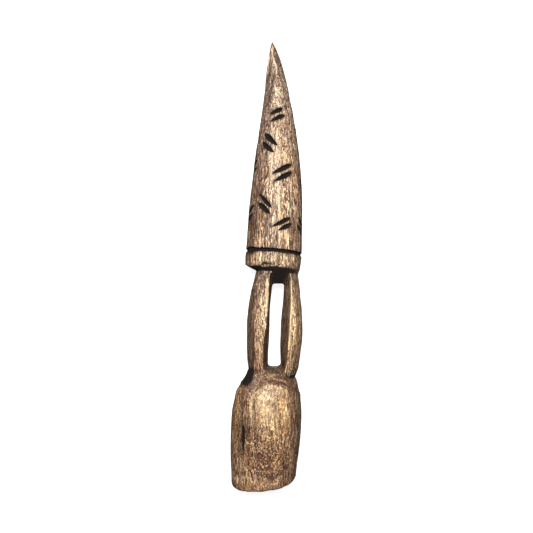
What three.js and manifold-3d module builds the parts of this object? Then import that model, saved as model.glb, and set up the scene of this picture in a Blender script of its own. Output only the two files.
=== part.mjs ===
// Divination tapper, carved from one piece of hardwood: a pointed cone with
// chip-cut marks, a slotted neck of two bars, and a solid bell-shaped foot.
// It lies on its back at Z = 0. +Y runs toward the point, +X is to the right
// of someone who looks down on its front, and +Z is up. Sizes are millimetres.

import * as THREE from 'three';
import { mergeVertices } from 'three/addons/utils/BufferGeometryUtils.js';
import Module from 'manifold-3d';

// Driving sizes
const LENGTH = 300;
const TIP_Y = LENGTH / 2;
const TIP_WEAR = 0.3;
const POINT_Y = 136;
const COLLAR_Y = -2.85;
const NECK_TOP_Y = -6.8;
const NECK_FOOT_Y = -73.4;
const SHOULDER_Y = -98;
const BELL_RIM_Y = -143.5;

// Outline of each stretch: how far it reaches left, right, back and front
const CONE = [
  { y: COLLAR_Y, left: -14.1, right: 22.0, back: 0.3, front: 36.0 },
  { y: 0.5, left: -14.1, right: 22.7, back: -0.4, front: 36.6 },
  { y: 10, left: -13.3, right: 23.5, back: -0.3, front: 36.4 },
  { y: 42, left: -11.1, right: 23.8, back: 0.9, front: 33.6 },
  { y: 75, left: -7.0, right: 21.6, back: 2.6, front: 29.0 },
  { y: 107, left: -2.3, right: 16.6, back: 5.2, front: 22.9 },
  { y: POINT_Y, left: 0.9, right: 9.9, back: 8.6, front: 16.8 },
  { y: 144.6, left: 2.3, right: 6.6, back: 10.0, front: 14.2 },
  { y: TIP_Y, left: 3.5, right: 4.2, back: 11.7, front: 12.3 },
];
const NECK = [
  { y: NECK_FOOT_Y, left: -12.0, right: 18.9, back: 4.6, front: 33.0 },
  { y: -65, left: -13.1, right: 21.5, back: 4.5, front: 33.5 },
  { y: -42, left: -13.0, right: 23.9, back: 3.6, front: 34.6 },
  { y: -21, left: -10.3, right: 22.6, back: 4.4, front: 33.4 },
  { y: NECK_TOP_Y, left: -6.8, right: 20.8, back: 5.6, front: 31.2 },
];
const BELL = [
  { y: BELL_RIM_Y, left: -23.3, right: 19.6, back: 0.4, front: 38.2 },
  { y: -121, left: -23.9, right: 22.2, back: -0.8, front: 42.4 },
  { y: SHOULDER_Y, left: -22.6, right: 23.2, back: -0.8, front: 43.6 },
  { y: -88.8, left: -20.4, right: 23.0, back: -0.4, front: 43.2 },
  { y: -83.5, left: -17.5, right: 22.4, back: 0.6, front: 42.2 },
  { y: -78.3, left: -14.0, right: 20.7, back: 2.4, front: 40.5 },
  NECK[0],
];
const UNDERSIDE = [NECK.at(-1), CONE[0]];

// Lean of the cross-sections: rise of Y for each millimetre along X and Z
const LEAN = [
  { y: -LENGTH / 2, x: 0.14, z: 0 },
  { y: -108, x: 0, z: 0 },
  { y: NECK_FOOT_Y, x: -0.18, z: 0.07 },
  { y: -45, x: -0.1, z: 0.075 },
  { y: COLLAR_Y, x: -0.09, z: 0.08 },
  { y: 14, x: -0.08, z: 0.08 },
  { y: 60, x: 0, z: 0 },
  { y: TIP_Y, x: 0, z: 0 },
];

// Knife-cut facets: the way each one faces, in degrees from the front toward
// the right, and how crisp the arris between two of them is
const BELL_FACETS = { faces: [5, 60, 95, 140, 185, 225, 270, 315], crispness: 7 };
const NECK_FACETS = { faces: [18, 60, 104, 147, 213, 252, 288, 327], crispness: 13 };
const POINT_FACETS = { faces: [56, 128, 230, 302], crispness: 6 };
const ROUND = { faces: [], crispness: 1 };
const BELL_TO_NECK_Y = [-84, NECK_FOOT_Y];
const ROUND_TO_POINT_Y = [95, 140];

// Butt end: a rounded rim, in steps of its turn, and a low dome
const RIM_RADIUS = 4.5;
const RIM_TURNS = [80, 55, 30];
const DOME_HEIGHT = 1.2;
const DOME_RING_SHARE = 0.55;

// Ring groove above the collar
const GROOVE = { y: 6.85, width: 2.6, floor: 1.0, depth: 2.2 };

// Slot through the neck, cut in from both faces and narrowest at mid-depth,
// as outlines that run round from the left of its top
const SLOT_MID_Z = 19;
const SLOT_FACE_RISE = 14;
const SLOT_CUTTER_RISE = 29;
const SLOT_AT_MID = [
  [3.4, -11.5], [12.0, -11.5], [10.1, -48], [10.7, -69.0], [5.3, -69.9], [0.0, -69.3], [1.6, -48],
];
const SLOT_AT_FACE = [
  [1.3, -6.0], [13.9, -6.6], [13.7, -47], [12.1, -69.8], [4.6, -71.4], [-2.3, -67.6], [-1.5, -47],
];

// Chip-cut marks: leaf-shaped cuts in pairs round the cone. The second cut of
// a pair is a step to the right of the first and up, along the surface.
const CHIP = { width: 2.9, depth: 1.35, belly: 0.62, skew: 0.2 };
const RISING = { slant: 27.5, step: [0.9, -4.8] };
const FALLING = { slant: -43.5, step: [-1.2, -5.2] };
const CHIP_PAIRS = [
  { angle: -4.5, y: 100.5, cut: RISING, length: 9.5 },
  { angle: -22, y: 81.5, cut: FALLING, length: 11.5 },
  { angle: 13, y: 61.2, cut: RISING, length: 14 },
  { angle: -24, y: 39.5, cut: FALLING, length: 12.5 },
  { angle: 13, y: 25.2, cut: RISING, length: 13.5 },
  { angle: 84, y: 56, cut: FALLING, length: 11.5 },
  { angle: 71, y: 26, cut: FALLING, length: 11.5 },
  { angle: -68, y: 65, cut: RISING, length: 12 },
  { angle: -74, y: 31, cut: RISING, length: 12 },
  { angle: 178, y: 84, cut: FALLING, length: 10.5 },
  { angle: 145, y: 63, cut: RISING, length: 12 },
  { angle: 148, y: 27, cut: RISING, length: 12 },
  { angle: -146, y: 47, cut: FALLING, length: 12 },
  { angle: -150, y: 20, cut: FALLING, length: 11.5 },
];

// Drying crack down the left of the bell
const CRACK = { width: 2.1, depth: 3.2, belly: 0.3, skew: 0 };
const CRACK_PLACE = { angle: -38.5, y: -113.8, slant: 91, length: 21 };
const LEAF_STATIONS = [0.04, 0.18, 0.36, 0.54, 0.7, 0.84, 0.96];
const CUTTER_LIFT = 0.6;

// How finely the surface is faceted: points round each ring, and rings
const AROUND = 48;
const RINGS = { bell: 8, shoulder: 9, neck: 10, collar: 3, cone: 20, point: 5 };
const WOOD = { color: 0xb08c66, roughness: 0.62, metalness: 0 };

const radians = (degrees) => (degrees * Math.PI) / 180;
const mix = (from, to, share) => from + (to - from) * share;
const steps = (from, to, count) => Array.from({ length: count }, (_, i) => mix(from, to, i / count));

function smoothStep([from, to], value) {
  const share = Math.min(1, Math.max(0, (value - from) / (to - from)));
  return share * share * (3 - 2 * share);
}

// Value of one field of the rows at height y, on a smooth curve through the
// rows that never swings past them
function along(rows, field, y) {
  const last = rows.length - 2;
  let index = 0;
  while (index < last && rows[index + 1].y < y) index += 1;
  const slope = (i) => (rows[i + 1][field] - rows[i][field]) / (rows[i + 1].y - rows[i].y);
  const tangent = (i) => {
    if (i === 0) return slope(0);
    if (i > last) return slope(last);
    const product = slope(i - 1) * slope(i);
    return product <= 0 ? 0 : (2 * product) / (slope(i - 1) + slope(i));
  };
  const span = rows[index + 1].y - rows[index].y;
  const t = Math.min(1, Math.max(0, (y - rows[index].y) / span));
  const left = 1 - t;
  return rows[index][field] * (1 + 2 * t) * left * left
    + rows[index + 1][field] * (3 - 2 * t) * t * t
    + tangent(index) * span * t * left * left
    - tangent(index + 1) * span * t * t * left;
}

// Section with the given facets, stretched to reach 1 each way
function unitSection({ faces, crispness }) {
  const rawPoint = (angle) => {
    const facing = faces.map((face) => Math.max(0, Math.cos(radians(angle - face))) ** crispness);
    const sum = facing.reduce((total, value) => total + value, 0);
    const reach = faces.length ? sum ** (-1 / crispness) : 1;
    return [reach * Math.sin(radians(angle)), reach * Math.cos(radians(angle))];
  };
  const sweep = steps(0, 360, 360).map(rawPoint);
  const limits = [0, 1].map((axis) => {
    const values = sweep.map((point) => point[axis]);
    return [Math.min(...values), Math.max(...values)];
  });
  return (angle) => rawPoint(angle).map((value, axis) => {
    const [low, high] = limits[axis];
    return (2 * (value - low)) / (high - low) - 1;
  });
}

const bellSection = unitSection(BELL_FACETS);
const neckSection = unitSection(NECK_FACETS);
const roundSection = unitSection(ROUND);
const pointSection = unitSection(POINT_FACETS);

function sectionPoint(angle, y) {
  const blend = (from, to, share) => {
    const start = from(angle);
    const end = to(angle);
    return start.map((value, axis) => mix(value, end[axis], share));
  };
  if (y < NECK_TOP_Y) return blend(bellSection, neckSection, smoothStep(BELL_TO_NECK_Y, y));
  if (y < COLLAR_Y) return blend(neckSection, roundSection, smoothStep([NECK_TOP_Y, COLLAR_Y], y));
  return blend(roundSection, pointSection, smoothStep(ROUND_TO_POINT_Y, y));
}

function rowsAt(y) {
  if (y < NECK_FOOT_Y) return BELL;
  if (y < NECK_TOP_Y) return NECK;
  return y < COLLAR_Y ? UNDERSIDE : CONE;
}

// Point of the carved surface at an angle from the front, in degrees toward
// the right, and a height, moved inward by inset
function surfacePoint(angle, y, inset = 0) {
  const rows = rowsAt(y);
  const reach = (field) => along(rows, field, y);
  const [unitX, unitZ] = sectionPoint(angle, y);
  const x = ((reach('right') - reach('left')) / 2 - inset) * unitX;
  const z = ((reach('front') - reach('back')) / 2 - inset) * unitZ;
  const rise = along(LEAN, 'x', y) * x + along(LEAN, 'z', y) * z;
  const centreX = (reach('right') + reach('left')) / 2;
  const centreZ = (reach('front') + reach('back')) / 2;
  return new THREE.Vector3(centreX + x, y + rise, centreZ + z);
}

function surfaceNormal(angle, y) {
  const across = surfacePoint(angle + 1, y).sub(surfacePoint(angle - 1, y));
  const upward = surfacePoint(angle, y + 0.5).sub(surfacePoint(angle, y - 0.5));
  return across.cross(upward).normalize();
}

const wasm = await Module();
wasm.setup();

// Closed geometry as a solid that can be cut
function solidFrom(geometry) {
  geometry.deleteAttribute('normal');
  geometry.deleteAttribute('uv');
  const merged = mergeVertices(geometry);
  return new wasm.Manifold(new wasm.Mesh({
    numProp: 3,
    vertProperties: merged.attributes.position.array,
    triVerts: Uint32Array.from(merged.index.array),
  }));
}

// Solid skinned over rings of points and closed at a point in or past each end
function loft(rings, firstPoint, lastPoint) {
  const around = rings[0].length;
  const points = [...rings.flat(), firstPoint, lastPoint];
  const first = points.length - 2;
  const last = points.length - 1;
  const lastRing = (rings.length - 1) * around;
  const faces = [];
  for (let i = 0; i < around; i += 1) {
    const next = (i + 1) % around;
    for (let ring = 0; ring < lastRing; ring += around) {
      faces.push([ring + i, ring + next, ring + around + next]);
      faces.push([ring + i, ring + around + next, ring + around + i]);
    }
    faces.push([first, next, i]);
    faces.push([last, lastRing + i, lastRing + next]);
  }
  const volumeUnder = ([a, b, c]) => points[a].dot(points[b].clone().cross(points[c]));
  const volume = faces.reduce((total, face) => total + volumeUnder(face), 0);
  if (volume < 0) faces.forEach((face) => face.reverse());
  const geometry = new THREE.BufferGeometry().setFromPoints(points);
  geometry.setIndex(faces.flat());
  return solidFrom(geometry);
}

const angles = steps(0, 360, AROUND);
const ringAt = (y, inset = 0) => angles.map((angle) => surfacePoint(angle, y, inset));

function middle(ring) {
  const sum = ring.reduce((total, point) => total.add(point), new THREE.Vector3());
  return sum.divideScalar(ring.length);
}

function carvedBody() {
  const rim = RIM_TURNS.map((degrees) => {
    const turn = radians(degrees);
    const ring = ringAt(BELL_RIM_Y, RIM_RADIUS * (1 - Math.cos(turn)));
    ring.forEach((point) => { point.y -= RIM_RADIUS * Math.sin(turn); });
    return ring;
  });
  const buttCentre = middle(rim[0]);
  const dome = rim[0].map((point) => buttCentre.clone().lerp(point, DOME_RING_SHARE));
  dome.forEach((point) => { point.y -= DOME_HEIGHT * (1 - DOME_RING_SHARE ** 2); });
  buttCentre.y -= DOME_HEIGHT;
  const halfFloor = GROOVE.floor / 2;
  const halfWidth = GROOVE.width / 2;
  const grooveProfile = [
    [-halfWidth, 0], [-halfFloor, GROOVE.depth], [halfFloor, GROOVE.depth], [halfWidth, 0],
  ];
  const heightsBelowGroove = [
    ...steps(BELL_RIM_Y, SHOULDER_Y, RINGS.bell),
    ...steps(SHOULDER_Y, NECK_FOOT_Y, RINGS.shoulder),
    ...steps(NECK_FOOT_Y, NECK_TOP_Y, RINGS.neck),
    NECK_TOP_Y,
    ...steps(COLLAR_Y, GROOVE.y - halfWidth, RINGS.collar),
  ];
  const heightsAboveGroove = [
    ...steps(GROOVE.y + halfWidth, POINT_Y, RINGS.cone).slice(1),
    ...steps(POINT_Y, TIP_Y - TIP_WEAR, RINGS.point),
  ];
  const rings = [
    dome,
    ...rim,
    ...heightsBelowGroove.map((y) => ringAt(y)),
    ...grooveProfile.map(([rise, depth]) => ringAt(GROOVE.y + rise, depth)),
    ...heightsAboveGroove.map((y) => ringAt(y)),
  ];
  const tip = middle(rings.at(-1));
  tip.y = TIP_Y;
  return loft(rings, buttCentre, tip);
}

// Everything below the surface that the tapper lies on, where it is worn flat
function floorCutter() {
  const thickness = 20;
  const floor = new THREE.BoxGeometry(LENGTH, 2 * LENGTH, thickness);
  return solidFrom(floor.translate(0, 0, -thickness / 2));
}

function slotCutter() {
  const levels = [-SLOT_CUTTER_RISE, 0, SLOT_CUTTER_RISE].map((rise) => {
    const widen = Math.abs(rise) / SLOT_FACE_RISE;
    return SLOT_AT_MID.map(([x, y], corner) => {
      const [faceX, faceY] = SLOT_AT_FACE[corner];
      return new THREE.Vector3(mix(x, faceX, widen), mix(y, faceY, widen), SLOT_MID_Z + rise);
    });
  });
  return loft(levels, middle(levels[0]), middle(levels.at(-1)));
}

// Degrees round the surface that one millimetre takes, near a place on it
function degreesPerMillimetre(angle, y) {
  return 1 / surfacePoint(angle + 1, y).distanceTo(surfacePoint(angle, y));
}

// Leaf-shaped knife cut that follows the surface, with a V section
function leafCutter({ angle, y, slant, length }, { width, depth, belly, skew }) {
  const turn = length * Math.cos(radians(slant)) * degreesPerMillimetre(angle, y);
  const climb = length * Math.sin(radians(slant));
  const place = (share) => [angle + (share - 0.5) * turn, y + (share - 0.5) * climb];
  const fullness = (share) => (share / belly) ** belly * ((1 - share) / (1 - belly)) ** (1 - belly);
  const lifted = (share, lift) => (
    surfacePoint(...place(share)).addScaledVector(surfaceNormal(...place(share)), lift)
  );
  const rings = LEAF_STATIONS.map((share) => {
    const full = fullness(share);
    const point = lifted(share, 0);
    const floor = lifted(share, -depth * full);
    const ahead = lifted(share + 0.01, 0).sub(point);
    const side = surfaceNormal(...place(share)).cross(ahead).normalize();
    const overshoot = 1 + CUTTER_LIFT / (depth * full);
    const wallTop = (reach) => {
      const edge = point.clone().addScaledVector(side, width * full * reach);
      return floor.clone().lerp(edge, overshoot);
    };
    return [wallTop(skew + 0.5), floor, wallTop(skew - 0.5)];
  });
  return loft(rings, lifted(0, CUTTER_LIFT), lifted(1, CUTTER_LIFT));
}

function chipPair({ angle, y, cut, length }) {
  const [right, up] = cut.step;
  const second = { angle: angle + right * degreesPerMillimetre(angle, y), y: y + up };
  return [{ angle, y }, second].map((place) => (
    leafCutter({ ...place, slant: cut.slant, length }, CHIP)
  ));
}

function tapper() {
  const cutters = [
    floorCutter(),
    slotCutter(),
    leafCutter(CRACK_PLACE, CRACK),
    ...CHIP_PAIRS.flatMap(chipPair),
  ];
  const solid = cutters.reduce((body, cutter) => body.subtract(cutter), carvedBody());
  const { vertProperties, triVerts } = solid.getMesh();
  const geometry = new THREE.BufferGeometry();
  geometry.setAttribute('position', new THREE.BufferAttribute(vertProperties, 3));
  geometry.setIndex(new THREE.BufferAttribute(triVerts, 1));
  geometry.computeVertexNormals();
  const mesh = new THREE.Mesh(geometry, new THREE.MeshStandardMaterial(WOOD));
  mesh.name = 'tapper';
  return mesh;
}

const model = new THREE.Group();
model.add(tapper());

export default model;
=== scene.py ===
import math
import bpy
import numpy as np
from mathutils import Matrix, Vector, kdtree, noise


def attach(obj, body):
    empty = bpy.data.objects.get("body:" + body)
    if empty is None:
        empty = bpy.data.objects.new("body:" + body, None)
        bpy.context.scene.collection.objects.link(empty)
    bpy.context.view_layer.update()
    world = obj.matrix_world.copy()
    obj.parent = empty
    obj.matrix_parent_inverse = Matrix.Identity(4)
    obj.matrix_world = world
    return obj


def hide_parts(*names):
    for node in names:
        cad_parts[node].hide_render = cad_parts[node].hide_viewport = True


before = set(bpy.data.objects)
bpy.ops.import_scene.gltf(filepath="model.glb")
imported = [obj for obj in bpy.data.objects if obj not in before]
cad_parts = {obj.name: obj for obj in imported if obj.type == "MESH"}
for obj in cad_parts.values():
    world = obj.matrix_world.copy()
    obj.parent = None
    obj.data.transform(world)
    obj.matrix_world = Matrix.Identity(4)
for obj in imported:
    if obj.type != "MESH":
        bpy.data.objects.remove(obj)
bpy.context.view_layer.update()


# The billet. The real tapper is one split length of dense, open-grained
# hardwood, as long as the finished work. Here it is a straight bar of rings,
# with rings of its own across the butt, ready to be carved.
MM = 0.001
SIDES = 24
CUTS_BETWEEN_RINGS = 3
BILLET_RADIUS = 30.0
BUTT_SHARES = [0.05, 0.45, 0.78, 1.0]

TIP_Y = 150.0
TIP_WEAR = 0.3
TIP_TOP_Y = TIP_Y - TIP_WEAR
POINT_Y = 136.0
COLLAR_Y = -2.85
NECK_TOP_Y = -6.8
NECK_FOOT_Y = -73.4
BELL_RIM_Y = -143.5

# Where each stretch of the wood starts, and how many rings cross it.
STRETCHES = [(BELL_RIM_Y, 13), (NECK_FOOT_Y, 11), (NECK_TOP_Y, 1), (COLLAR_Y, 23), (POINT_Y, 3)]


def steps(start, end, count):
    return [start + (end - start) * i / count for i in range(count)]


def closed_bar(name, sides, shares, heights):
    """A bar along Y: rings that widen across its first end, then rings up its length."""
    bpy.ops.object.select_all(action="DESELECT")
    bpy.ops.mesh.primitive_circle_add(
        vertices=sides, radius=BILLET_RADIUS * shares[0] * MM, fill_type="NGON",
        location=(0, heights[0] * MM, 0), rotation=(math.radians(90), 0, 0))
    bar = bpy.context.object
    bar.name = name
    bpy.ops.object.transform_apply(location=False, rotation=True, scale=False)
    bpy.ops.object.mode_set(mode="EDIT")
    bpy.ops.mesh.select_all(action="SELECT")
    for inner, outer in zip(shares, shares[1:]):
        bpy.ops.mesh.extrude_region_move()
        bpy.ops.transform.resize(value=(outer / inner, 1, outer / inner))
    for below, above in zip(heights, heights[1:]):
        bpy.ops.mesh.extrude_region_move(
            TRANSFORM_OT_translate={"value": (0, (above - below) * MM, 0)})
    bpy.ops.object.mode_set(mode="OBJECT")
    bpy.ops.object.transform_apply(location=True, rotation=True, scale=True)
    return bar


def apply_modifier(piece, kind, **settings):
    bpy.ops.object.select_all(action="DESELECT")
    piece.select_set(True)
    bpy.context.view_layer.objects.active = piece
    modifier = piece.modifiers.new(kind.lower(), kind)
    for setting, value in settings.items():
        setattr(modifier, setting, value)
    bpy.ops.object.modifier_apply(modifier=modifier.name)


ring_heights = []
stretch_ends = [start for start, _ in STRETCHES[1:]] + [TIP_TOP_Y]
for (start, count), end in zip(STRETCHES, stretch_ends):
    ring_heights += steps(start, end, count)
tapper = closed_bar("carved_tapper", SIDES, BUTT_SHARES, ring_heights + [TIP_TOP_Y])
apply_modifier(tapper, "SUBSURF", subdivision_type="SIMPLE",
               levels=CUTS_BETWEEN_RINGS, render_levels=CUTS_BETWEEN_RINGS)


# The outline. The real one is chopped to shape and then finished with a knife:
# a cone that curves to a point, a neck hollowed between two bars, and a heavy
# foot. Each row says how far the wood reaches left, right, back and front.
UNDERSIDE = [[NECK_TOP_Y, -6.8, 20.8, 5.6, 31.2], [COLLAR_Y, -14.1, 22.0, 0.3, 36.0]]
CONE = [
    UNDERSIDE[1],
    [0.5, -14.1, 22.7, -0.4, 36.6],
    [10, -13.3, 23.5, -0.3, 36.4],
    [42, -11.1, 23.8, 0.9, 33.6],
    [75, -7.0, 21.6, 2.6, 29.0],
    [107, -2.3, 16.6, 5.2, 22.9],
    [POINT_Y, 0.9, 9.9, 8.6, 16.8],
    [144.6, 2.3, 6.6, 10.0, 14.2],
    [TIP_Y, 3.5, 4.2, 11.7, 12.3],
]
NECK = [
    [NECK_FOOT_Y, -12.0, 18.9, 4.6, 33.0],
    [-65, -13.1, 21.5, 4.5, 33.5],
    [-42, -13.0, 23.9, 3.6, 34.6],
    [-21, -10.3, 22.6, 4.4, 33.4],
    UNDERSIDE[0],
]
BELL = [
    [BELL_RIM_Y, -23.3, 19.6, 0.4, 38.2],
    [-121, -23.9, 22.2, -0.8, 42.4],
    [-109, -23.5, 22.8, -0.8, 43.2],
    [-98, -22.9, 23.1, -0.8, 43.6],
    [-88.8, -21.2, 23.0, -0.4, 43.2],
    [-83.5, -20.2, 22.6, 0.6, 42.2],
    [-78.3, -17.6, 22.3, 2.4, 40.6],
    [-76.3, -16.6, 21.5, 3.2, 38.9],
    [-74.6, -13.4, 20.2, 4.1, 35.6],
    NECK[0],
]

# How far each ring leans: its rise for a millimetre to the right, and to the front.
LEAN = [
    [-150, 0.14, 0], [-108, 0, 0], [-76.3, 0, 0.02], [-74.6, -0.1, 0.05],
    [NECK_FOOT_Y, -0.18, 0.07], [-45, -0.1, 0.075], [COLLAR_Y, -0.09, 0.08], [14, -0.08, 0.08],
    [60, 0, 0], [TIP_Y, 0, 0],
]

# The shoulder is arched: how far its rings sink, and how that varies from left to right.
ARCH_HEIGHT = 9.0
ARCH = [
    [-150, 0], [-121, 0], [-109, 1], [-98, 3.5], [-88.8, 6.5], [-83.5, 8], [-78.3, ARCH_HEIGHT],
    [-76.3, ARCH_HEIGHT], [-74.6, 3], [NECK_FOOT_Y, 0], [TIP_Y, 0],
]
ARCH_ACROSS = [
    [-1, 0.25], [-0.78, 0.2], [-0.62, 0.42], [-0.5, 0.66], [-0.29, 0.24], [0.07, 0], [0.38, 0.11],
    [0.69, 0.4], [0.81, 0.66], [1, 1],
]

# The faces of each section, by their angle from the front, and how crisp their edges are.
BELL_FACETS = ([5, 60, 95, 140, 185, 225, 270, 315], 7)
NECK_FACETS = ([14, 68, 102, 150, 213, 252, 285, 343], 20)
POINT_FACETS = ([56, 128, 230, 302], 6)
NECK_FACETS_FROM_Y = -84
POINT_FACETS_FROM_Y = 95
POINT_FACETS_BY_Y = 140

# The rim of the foot is rounded, and its butt is slightly domed.
RIM_RADIUS = 4.5
RIM_SHARE = 0.27
DOME_HEIGHT = 1.2
OUTERMOST_SHARE = 0.97
HAIR = 0.01


def smooth_step(start, end, value):
    share = np.clip((value - start) / (end - start), 0, 1)
    return share * share * (3 - 2 * share)


def along(rows, column, y):
    """Values of one column at heights y, on a curve that never swings past the rows."""
    table = np.array(rows, float)
    heights, values = table[:, 0], table[:, column]
    slopes = np.diff(values) / np.diff(heights)
    products = slopes[:-1] * slopes[1:]
    sums = np.where(products > 0, slopes[:-1] + slopes[1:], 1)
    inner = np.where(products > 0, 2 * products / sums, 0)
    tangents = np.concatenate((slopes[:1], inner, slopes[-1:]))
    i = np.clip(np.searchsorted(heights, y, side="right") - 1, 0, len(heights) - 2)
    span = heights[i + 1] - heights[i]
    t = np.clip((y - heights[i]) / span, 0, 1)
    left = 1 - t
    return (values[i] * (1 + 2 * t) * left ** 2 + values[i + 1] * (3 - 2 * t) * t ** 2
            + tangents[i] * span * t * left ** 2 - tangents[i + 1] * span * t ** 2 * left)


def unit_section(angle, facets=None):
    """X and Z of a faceted section that reaches 1 each way, at angles from the front."""
    def raw(degrees):
        turn = np.radians(degrees)
        if facets is None:
            return np.sin(turn), np.cos(turn)
        faces, crispness = facets
        facing = np.cos(turn[..., None] - np.radians(faces))
        reach = (np.maximum(0, facing) ** crispness).sum(-1) ** (-1 / crispness)
        return reach * np.sin(turn), reach * np.cos(turn)

    limits = [(side.min(), side.max()) for side in raw(np.arange(360.0))]
    return [2 * (side - low) / (high - low) - 1 for side, (low, high) in zip(raw(angle), limits)]


def carved(angle, y, inset=0.0):
    """Points of the carved surface, in millimetres, moved inward by inset."""
    angle, y = np.broadcast_arrays(np.asarray(angle, float), np.asarray(y, float))
    stretches = [y < NECK_FOOT_Y, y < NECK_TOP_Y, y < COLLAR_Y]
    left, right, back, front = (
        np.select(stretches, [along(BELL, c, y), along(NECK, c, y), along(UNDERSIDE, c, y)],
                  along(CONE, c, y))
        for c in (1, 2, 3, 4))
    into_neck = smooth_step(NECK_FACETS_FROM_Y, NECK_FOOT_Y, y)
    into_round = smooth_step(NECK_TOP_Y, COLLAR_Y, y)
    into_point = smooth_step(POINT_FACETS_FROM_Y, POINT_FACETS_BY_Y, y)
    sections = [
        unit_section(angle, facets) for facets in (BELL_FACETS, NECK_FACETS, None, POINT_FACETS)]
    unit = [
        (bell * (1 - into_neck) + neck * into_neck) * (1 - into_round)
        + (plain * (1 - into_point) + point * into_point) * into_round
        for bell, neck, plain, point in zip(*sections)]
    x = ((right - left) / 2 - inset) * unit[0]
    z = ((front - back) / 2 - inset) * unit[1]
    rise = along(LEAN, 1, y) * x + along(LEAN, 2, y) * z
    rise -= along(ARCH, 1, y) * along(ARCH_ACROSS, 1, unit[0])
    return np.stack([(right + left) / 2 + x, y + rise, (front + back) / 2 + z], -1)


def points_of(piece):
    flat = np.empty(len(piece.data.vertices) * 3)
    piece.data.vertices.foreach_get("co", flat)
    return flat.reshape(-1, 3) / MM


def move_points(piece, points):
    piece.data.vertices.foreach_set("co", (points * MM).ravel())
    piece.data.update()


def degrees_round(points):
    """The angle of each point round the middle of its bar, from the front."""
    return np.degrees(np.arctan2(points[:, 0], points[:, 2]))


def face_outward(piece):
    bpy.ops.object.select_all(action="DESELECT")
    piece.select_set(True)
    bpy.context.view_layer.objects.active = piece
    bpy.ops.object.mode_set(mode="EDIT")
    bpy.ops.mesh.select_all(action="SELECT")
    bpy.ops.mesh.normals_make_consistent(inside=False)
    bpy.ops.object.mode_set(mode="OBJECT")


# How far out each point of the butt lies, evened between the billet's corners and flats.
billet = points_of(tapper)
shares = np.hypot(billet[:, 0], billet[:, 2]) / BILLET_RADIUS
on_butt = (billet[:, 1] < BELL_RIM_Y + HAIR) & (shares < OUTERMOST_SHARE)
shares = np.where(on_butt, shares / np.cos(np.pi / SIDES) ** 0.5, 1)
rim_turn = np.clip((1 - shares) / RIM_SHARE, 0, 1) * np.pi / 2
skin = carved(degrees_round(billet), billet[:, 1], RIM_RADIUS * (1 - np.cos(rim_turn)))
dome_share = np.clip(shares / (1 - RIM_SHARE), 0, 1)
butt_centre = carved(np.arange(0, 360, 360 / SIDES), BELL_RIM_Y, RIM_RADIUS).mean(0)
skin = butt_centre + (skin - butt_centre) * dome_share[:, None]
skin[:, 1] -= RIM_RADIUS * np.sin(rim_turn) + DOME_HEIGHT * (1 - dome_share ** 2)
move_points(tapper, skin)
face_outward(tapper)


# The knife work. The real surface is a patchwork of long shallow cuts that
# follow the grain, worn nearly smooth. Each cut is a cell of a stretched
# pattern, a little below the outline, with a low ridge where two cuts meet.
CUT_LENGTH = 34.0
CUT_WIDTH = 5.5
CUT_DEPTH = 0.28
CUT_FLOOR_SHARE = 0.3
RIDGE_WIDTH = 0.45
SWELL = 0.16
SWELL_ACROSS = 14
SWELL_ALONG = 40

# A shift picks another stretch of the noise, so that no two patterns are alike.
SWELL_SHIFT = 5

# The small steps, in degrees and millimetres, that find which way the wood faces.
STEP_ROUND = 0.5
STEP_ALONG = 0.2


def knife_depth(points):
    """How deep the knife went at each point, in millimetres."""
    depths = np.empty(len(points))
    for i, (x, y, z) in enumerate(points):
        swell = noise.noise((x / SWELL_ACROSS, y / SWELL_ALONG, z / SWELL_ACROSS + SWELL_SHIFT))
        place = (x / CUT_WIDTH + swell, y / CUT_LENGTH, z / CUT_WIDTH + swell)
        near, next_near = noise.voronoi(place)[0][:2]
        ridge = max(0, 1 - (next_near - near) / RIDGE_WIDTH) ** 2
        depths[i] = CUT_DEPTH * (CUT_FLOOR_SHARE - ridge) + SWELL * swell
    return depths


def shaped(angle, y):
    """The carved surface with its knife work, and its outward normals."""
    point = carved(angle, y)
    around = carved(angle + STEP_ROUND, y) - carved(angle - STEP_ROUND, y)
    ahead = carved(angle, y + STEP_ALONG) - carved(angle, y - STEP_ALONG)
    outward = np.cross(around, ahead)
    outward /= np.linalg.norm(outward, axis=1)[:, None]
    return point - outward * knife_depth(point)[:, None], outward


def point_normals(piece):
    flat = np.empty(len(piece.data.vertices) * 3)
    piece.data.vertex_normals.foreach_get("vector", flat)
    return flat.reshape(-1, 3)


# The collar's lower edge isn't cut quite true. It wavers, and at the front it
# drops or rises by the second number of each row, from left to right.
COLLAR_WANDER = 0.7
COLLAR_WANDER_LENGTH = 3.2
COLLAR_WANDER_REACH = 2.2
COLLAR_WANDER_SHIFT = 7.5
COLLAR_SAG = [
    [-24, 0], [-12, -0.9], [-10, -1.2], [-6, -0.7], [0, -0.8], [5.4, -1.2], [9, -1.2], [11.5, -1.0],
    [13, -0.2], [16, 0.9], [19, 0.1], [24, 0],
]
SAG_FROM_Z = 18
SAG_FULL_Z = 26

wood_points = points_of(tapper)
wood_points -= point_normals(tapper) * knife_depth(wood_points)[:, None]
near_collar_edge = np.exp(-((billet[:, 1] - COLLAR_Y) / COLLAR_WANDER_REACH) ** 2)
wander = np.array([
    noise.noise((x / COLLAR_WANDER_LENGTH, COLLAR_WANDER_SHIFT, z / COLLAR_WANDER_LENGTH))
    for x, _, z in wood_points])
sag = np.interp(wood_points[:, 0], *zip(*COLLAR_SAG))
sag *= smooth_step(SAG_FROM_Z, SAG_FULL_Z, wood_points[:, 2])
wood_points[:, 1] += near_collar_edge * (COLLAR_WANDER * wander + sag)
move_points(tapper, wood_points)


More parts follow.
